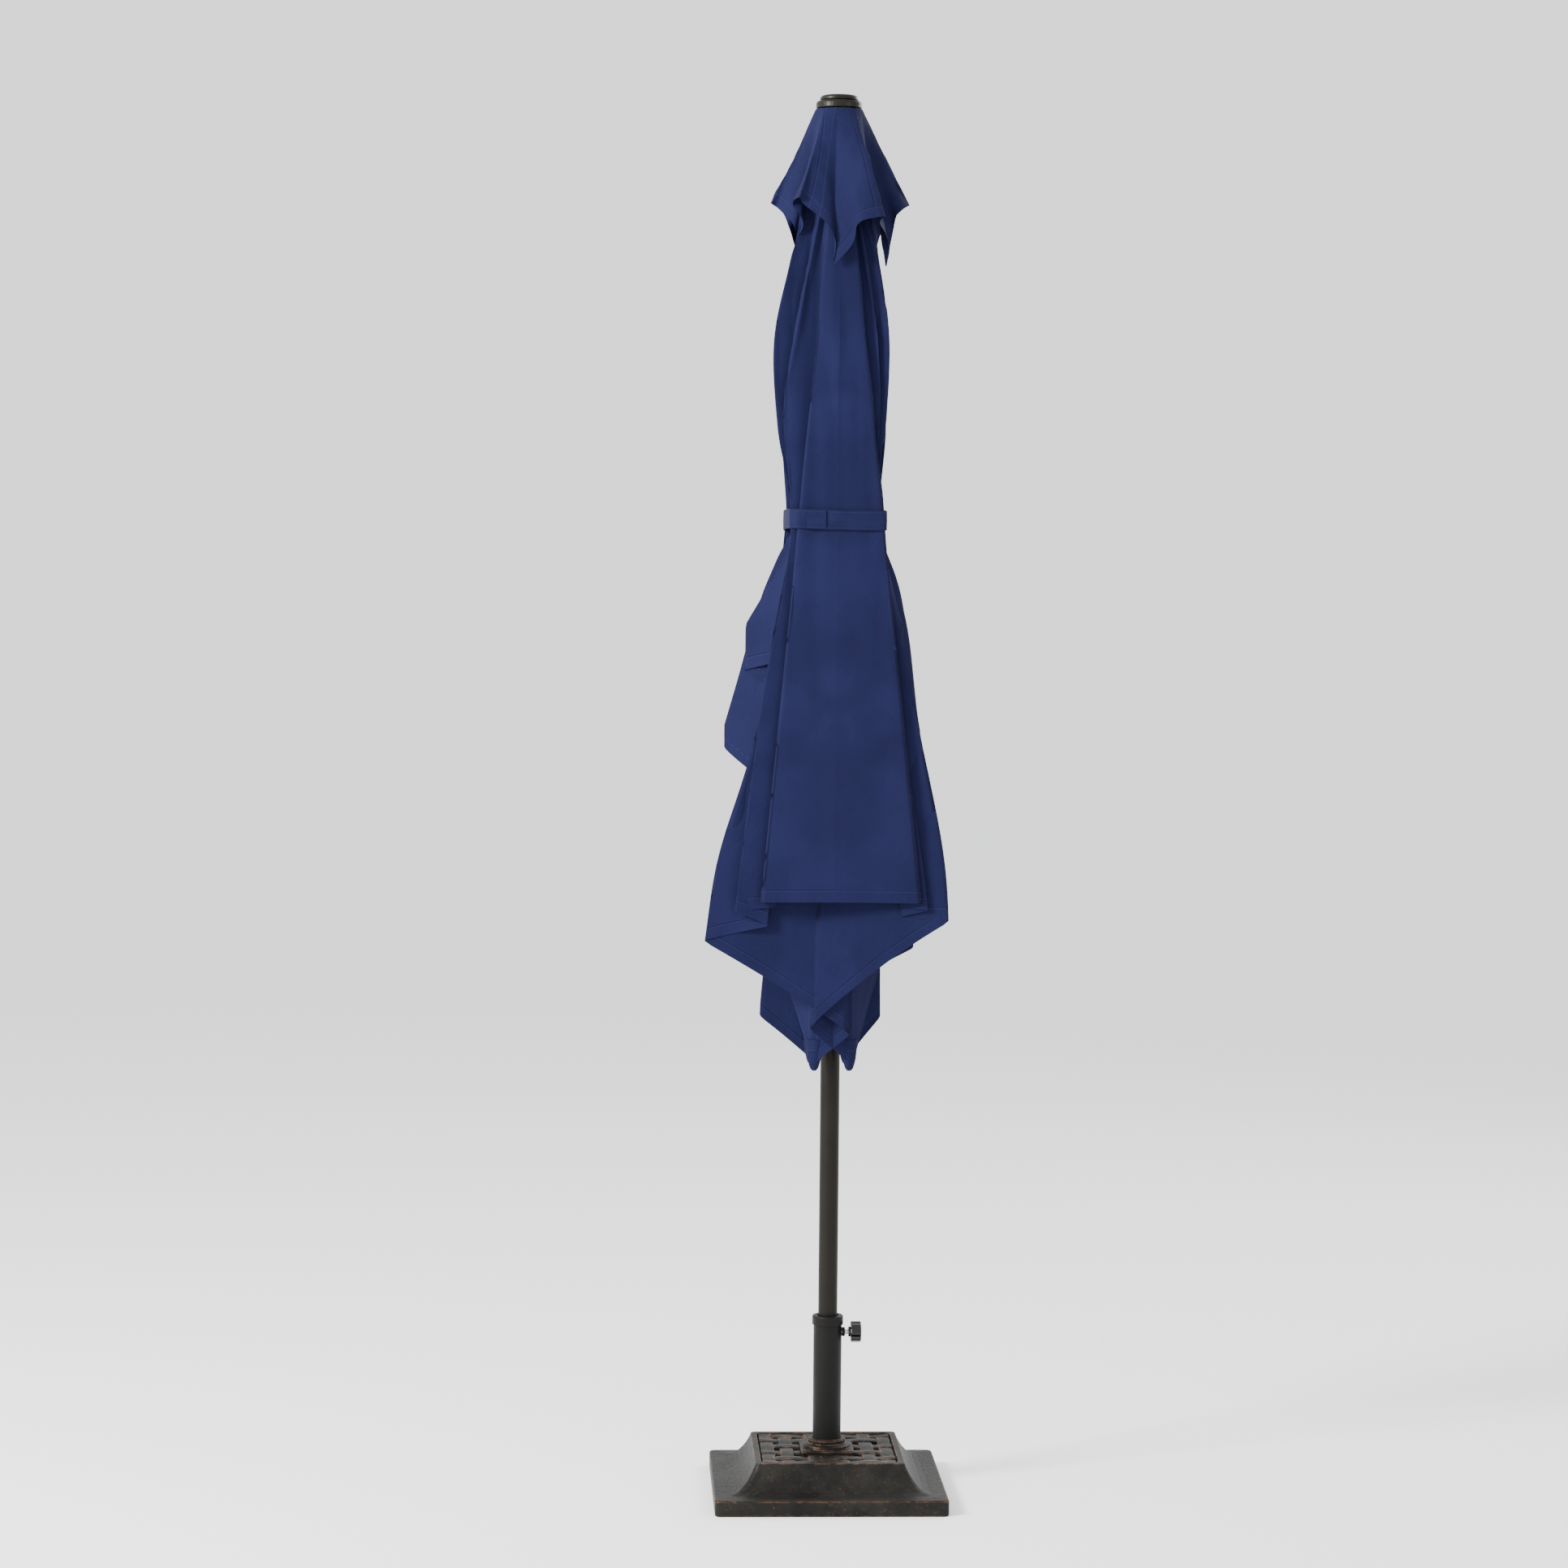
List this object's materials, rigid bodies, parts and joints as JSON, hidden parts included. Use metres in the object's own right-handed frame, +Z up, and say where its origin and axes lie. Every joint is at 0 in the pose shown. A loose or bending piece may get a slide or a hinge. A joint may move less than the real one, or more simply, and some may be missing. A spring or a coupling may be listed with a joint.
{
  "type": "patio umbrella with base",
  "caption": "Closed rectangular market umbrella on a square weighted base; a crank raises ribs and a navy canopy along a bronze pole.",
  "frame": {"origin": "centre of the base's underside, on the ground", "axes": "+Z up along the pole, front (the short side of the canopy) towards -Y, clamp knob towards +X"},
  "size_m": [0.4108, 0.405, 2.456],
  "materials": {
    "base_cast": "antique bronze casting",
    "concrete": "rough concrete",
    "black_plastic": "moulded",
    "bronze_metal": "powder coated",
    "bright_steel": "zinc plated",
    "canopy_fabric": "woven polyester"
  },
  "bodies": {
    "base": {"base_casting": "base_cast", "ballast_core": "concrete", "base_cover": "black_plastic", "deck_weave": "base_cast", "stem_flange": "base_cast", "stem_tube": "bronze_metal", "stem_collar": "bronze_metal", "clamp_nut": "bronze_metal"},
    "clamp_slide": {"clamp_pad": "bright_steel"},
    "clamp_turn": {"clamp_screw": "bright_steel", "clamp_knob": "black_plastic"},
    "pole_guide": {"stem_sleeve": "black_plastic"},
    "pole": {"lower_pole": "bronze_metal", "upper_pole": "bronze_metal", "pole_joiner": "bright_steel", "pole_foot_plug": "black_plastic", "crank_housing": "black_plastic", "top_hub": "black_plastic", "finial_base": "bronze_metal", "finial_cap": "bronze_metal", "vent_cap": "canopy_fabric"},
    "runner_body": {"runner": "black_plastic"},
    "crank": {"crank_spool": "black_plastic", "crank_arm": "bronze_metal", "crank_grip": "black_plastic"},
    "rib_front_left": {"rib_front_left": "bronze_metal"},
    "strut_front_left": {"strut_front_left": "bronze_metal"},
    "rib_side_left": {"rib_side_left": "bronze_metal"},
    "strut_side_left": {"strut_side_left": "bronze_metal"},
    "rib_back_left": {"rib_back_left": "bronze_metal"},
    "strut_back_left": {"strut_back_left": "bronze_metal"},
    "rib_back_right": {"rib_back_right": "bronze_metal"},
    "strut_back_right": {"strut_back_right": "bronze_metal"},
    "rib_side_right": {"rib_side_right": "bronze_metal"},
    "strut_side_right": {"strut_side_right": "bronze_metal"},
    "rib_front_right": {"rib_front_right": "bronze_metal", "tie_strap": "canopy_fabric"},
    "strut_front_right": {"strut_front_right": "bronze_metal"},
    "cloth_front_left_body": {"cloth_front_left": "canopy_fabric"},
    "cloth_back_left_body": {"cloth_back_left": "canopy_fabric"},
    "cloth_flap_outer_left_body": {"cloth_flap_outer_left": "canopy_fabric"},
    "cloth_flap_inner_left_body": {"cloth_flap_inner_left": "canopy_fabric"},
    "cloth_pleat_outer_left_body": {"cloth_pleat_outer_left": "canopy_fabric"},
    "cloth_pleat_inner_left_body": {"cloth_pleat_inner_left": "canopy_fabric"},
    "cloth_front_right_body": {"cloth_front_right": "canopy_fabric"},
    "cloth_back_right_body": {"cloth_back_right": "canopy_fabric"},
    "cloth_flap_outer_right_body": {"cloth_flap_outer_right": "canopy_fabric"},
    "cloth_flap_inner_right_body": {"cloth_flap_inner_right": "canopy_fabric"},
    "cloth_pleat_outer_right_body": {"cloth_pleat_outer_right": "canopy_fabric"},
    "cloth_pleat_inner_right_body": {"cloth_pleat_inner_right": "canopy_fabric"}
  },
  "joints": [
    {"name": "clamp_travel", "type": "slide", "parent": "base", "child": "clamp_slide", "axis": [1, 0, 0], "range_m": [0, 0.008]},
    {"name": "clamp_turn", "type": "hinge", "parent": "clamp_slide", "child": "clamp_turn", "pos_m": [0.04, 0, 0.284], "axis": [1, 0, 0], "range_deg": [0, 2305]},
    {"name": "umbrella_turn", "type": "hinge", "parent": "base", "child": "pole_guide", "pos_m": [0, 0, 0.2], "axis": [0, 0, 1], "continuous": true},
    {"name": "umbrella_lift", "type": "slide", "parent": "pole_guide", "child": "pole", "axis": [0, 0, 1], "range_m": [0, 0.24]},
    {"name": "canopy_open", "type": "slide", "parent": "pole", "child": "runner_body", "axis": [0, 0, 1], "range_m": [0, 0.6972], "deforming": ["cloth_front_left", "cloth_back_left", "cloth_flap_outer_left", "cloth_flap_inner_left", "cloth_pleat_outer_left", "cloth_pleat_inner_left", "cloth_front_right", "cloth_back_right", "cloth_flap_outer_right", "cloth_flap_inner_right", "cloth_pleat_outer_right", "cloth_pleat_inner_right", "vent_cap", "tie_strap"]},
    {"name": "crank_turn", "type": "hinge", "parent": "pole", "child": "crank", "pos_m": [0.036, 0, 1.07], "axis": [1, 0, 0], "range_deg": [0, 3995.66]},
    {"name": "rib_fold_front_left", "type": "hinge", "parent": "pole", "child": "rib_front_left", "pos_m": [-0.01665, -0.02496, 2.385], "axis": [-0.832, 0.5548, 0], "range_deg": [0, 73.15]},
    {"name": "strut_fold_front_left", "type": "hinge", "parent": "rib_front_left", "child": "strut_front_left", "pos_m": [-0.01478, -0.02216, 1.83488], "axis": [0.832, -0.5548, 0], "range_deg": [0, 134.59]},
    {"name": "rib_fold_side_left", "type": "hinge", "parent": "pole", "child": "rib_side_left", "pos_m": [-0.03, 0, 2.385], "axis": [0, 1, 0], "range_deg": [0, 73.15]},
    {"name": "strut_fold_side_left", "type": "hinge", "parent": "rib_side_left", "child": "strut_side_left", "pos_m": [-0.02664, 0, 1.83488], "axis": [0, -1, 0], "range_deg": [0, 134.59]},
    {"name": "rib_fold_back_left", "type": "hinge", "parent": "pole", "child": "rib_back_left", "pos_m": [-0.01665, 0.02496, 2.385], "axis": [0.832, 0.5548, 0], "range_deg": [0, 73.15]},
    {"name": "strut_fold_back_left", "type": "hinge", "parent": "rib_back_left", "child": "strut_back_left", "pos_m": [-0.01478, 0.02216, 1.83488], "axis": [-0.832, -0.5548, 0], "range_deg": [0, 134.59]},
    {"name": "rib_fold_back_right", "type": "hinge", "parent": "pole", "child": "rib_back_right", "pos_m": [0.01665, 0.02496, 2.385], "axis": [0.832, -0.5548, 0], "range_deg": [0, 73.15]},
    {"name": "strut_fold_back_right", "type": "hinge", "parent": "rib_back_right", "child": "strut_back_right", "pos_m": [0.01478, 0.02216, 1.83488], "axis": [-0.832, 0.5548, 0], "range_deg": [0, 134.59]},
    {"name": "rib_fold_side_right", "type": "hinge", "parent": "pole", "child": "rib_side_right", "pos_m": [0.03, 0, 2.385], "axis": [0, -1, 0], "range_deg": [0, 73.15]},
    {"name": "strut_fold_side_right", "type": "hinge", "parent": "rib_side_right", "child": "strut_side_right", "pos_m": [0.02664, 0, 1.83488], "axis": [0, 1, 0], "range_deg": [0, 134.59]},
    {"name": "rib_fold_front_right", "type": "hinge", "parent": "pole", "child": "rib_front_right", "pos_m": [0.01665, -0.02496, 2.385], "axis": [-0.832, -0.5548, 0], "range_deg": [0, 73.15]},
    {"name": "strut_fold_front_right", "type": "hinge", "parent": "rib_front_right", "child": "strut_front_right", "pos_m": [0.01478, -0.02216, 1.83488], "axis": [0.832, 0.5548, 0], "range_deg": [0, 134.59]},
    {"name": "spread_front_left", "type": "hinge", "parent": "rib_front_left", "child": "cloth_front_left_body", "pos_m": [-0.01665, -0.02496, 2.385], "axis": [-0.1256, -0.8205, -0.5577], "range_deg": [0, 38.96]},
    {"name": "spread_back_left", "type": "hinge", "parent": "rib_back_left", "child": "cloth_back_left_body", "pos_m": [-0.01665, 0.02496, 2.385], "axis": [0.1256, -0.8205, 0.5577], "range_deg": [0, 38.96]},
    {"name": "spread_flap_outer_left", "type": "hinge", "parent": "rib_front_left", "child": "cloth_flap_outer_left_body", "pos_m": [-0.01665, -0.02496, 2.385], "axis": [0.598, 0.7679, -0.2297], "range_deg": [0, 37.81]},
    {"name": "spread_flap_inner_left", "type": "hinge", "parent": "rib_side_left", "child": "cloth_flap_inner_left_body", "pos_m": [-0.03, 0, 2.385], "axis": [-0.9869, -0.1603, 0.0197], "range_deg": [0, 14.52]},
    {"name": "spread_pleat_outer_left", "type": "hinge", "parent": "rib_side_left", "child": "cloth_pleat_outer_left_body", "pos_m": [-0.03, 0, 2.385], "axis": [0.8559, -0.0633, -0.5133], "range_deg": [0, 16.75]},
    {"name": "spread_pleat_inner_left", "type": "hinge", "parent": "rib_back_left", "child": "cloth_pleat_inner_left_body", "pos_m": [-0.01665, 0.02496, 2.385], "axis": [-0.673, 0.7394, 0.0185], "range_deg": [0, 36.92]},
    {"name": "spread_front_right", "type": "hinge", "parent": "rib_front_right", "child": "cloth_front_right_body", "pos_m": [0.01665, -0.02496, 2.385], "axis": [-0.1256, 0.8205, 0.5577], "range_deg": [0, 38.96]},
    {"name": "spread_back_right", "type": "hinge", "parent": "rib_back_right", "child": "cloth_back_right_body", "pos_m": [0.01665, 0.02496, 2.385], "axis": [0.1256, 0.8205, -0.5577], "range_deg": [0, 38.96]},
    {"name": "spread_flap_outer_right", "type": "hinge", "parent": "rib_front_right", "child": "cloth_flap_outer_right_body", "pos_m": [0.01665, -0.02496, 2.385], "axis": [0.598, -0.7679, 0.2297], "range_deg": [0, 37.81]},
    {"name": "spread_flap_inner_right", "type": "hinge", "parent": "rib_side_right", "child": "cloth_flap_inner_right_body", "pos_m": [0.03, 0, 2.385], "axis": [-0.9869, 0.1603, -0.0197], "range_deg": [0, 14.52]},
    {"name": "spread_pleat_outer_right", "type": "hinge", "parent": "rib_side_right", "child": "cloth_pleat_outer_right_body", "pos_m": [0.03, 0, 2.385], "axis": [0.8559, 0.0633, 0.5133], "range_deg": [0, 16.75]},
    {"name": "spread_pleat_inner_right", "type": "hinge", "parent": "rib_back_right", "child": "cloth_pleat_inner_right_body", "pos_m": [0.01665, 0.02496, 2.385], "axis": [-0.673, -0.7394, -0.0185], "range_deg": [0, 36.92]}
  ],
  "couplings": [
    {"joint": "clamp_turn", "follows": "clamp_travel", "rad_per_m": 5026.6},
    {"joint": "crank_turn", "follows": "canopy_open", "rad_per_m": 100},
    {"joint": "rib_fold_front_left", "follows": "canopy_open", "rad_per_m": 1.8299},
    {"joint": "strut_fold_front_left", "follows": "canopy_open", "rad_per_m": 3.3681},
    {"joint": "rib_fold_side_left", "follows": "canopy_open", "rad_per_m": 1.8299},
    {"joint": "strut_fold_side_left", "follows": "canopy_open", "rad_per_m": 3.3681},
    {"joint": "rib_fold_back_left", "follows": "canopy_open", "rad_per_m": 1.8299},
    {"joint": "strut_fold_back_left", "follows": "canopy_open", "rad_per_m": 3.3681},
    {"joint": "rib_fold_back_right", "follows": "canopy_open", "rad_per_m": 1.8299},
    {"joint": "strut_fold_back_right", "follows": "canopy_open", "rad_per_m": 3.3681},
    {"joint": "rib_fold_side_right", "follows": "canopy_open", "rad_per_m": 1.8299},
    {"joint": "strut_fold_side_right", "follows": "canopy_open", "rad_per_m": 3.3681},
    {"joint": "rib_fold_front_right", "follows": "canopy_open", "rad_per_m": 1.8299},
    {"joint": "strut_fold_front_right", "follows": "canopy_open", "rad_per_m": 3.3681},
    {"joint": "spread_front_left", "follows": "canopy_open", "rad_per_m": 0.97403},
    {"joint": "spread_back_left", "follows": "canopy_open", "rad_per_m": 0.97403},
    {"joint": "spread_flap_outer_left", "follows": "canopy_open", "rad_per_m": 0.94538},
    {"joint": "spread_flap_inner_left", "follows": "canopy_open", "rad_per_m": 0.36213},
    {"joint": "spread_pleat_outer_left", "follows": "canopy_open", "rad_per_m": 0.41797},
    {"joint": "spread_pleat_inner_left", "follows": "canopy_open", "rad_per_m": 0.92291},
    {"joint": "spread_front_right", "follows": "canopy_open", "rad_per_m": 0.97403},
    {"joint": "spread_back_right", "follows": "canopy_open", "rad_per_m": 0.97403},
    {"joint": "spread_flap_outer_right", "follows": "canopy_open", "rad_per_m": 0.94538},
    {"joint": "spread_flap_inner_right", "follows": "canopy_open", "rad_per_m": 0.36213},
    {"joint": "spread_pleat_outer_right", "follows": "canopy_open", "rad_per_m": 0.41797},
    {"joint": "spread_pleat_inner_right", "follows": "canopy_open", "rad_per_m": 0.92291}
  ]
}
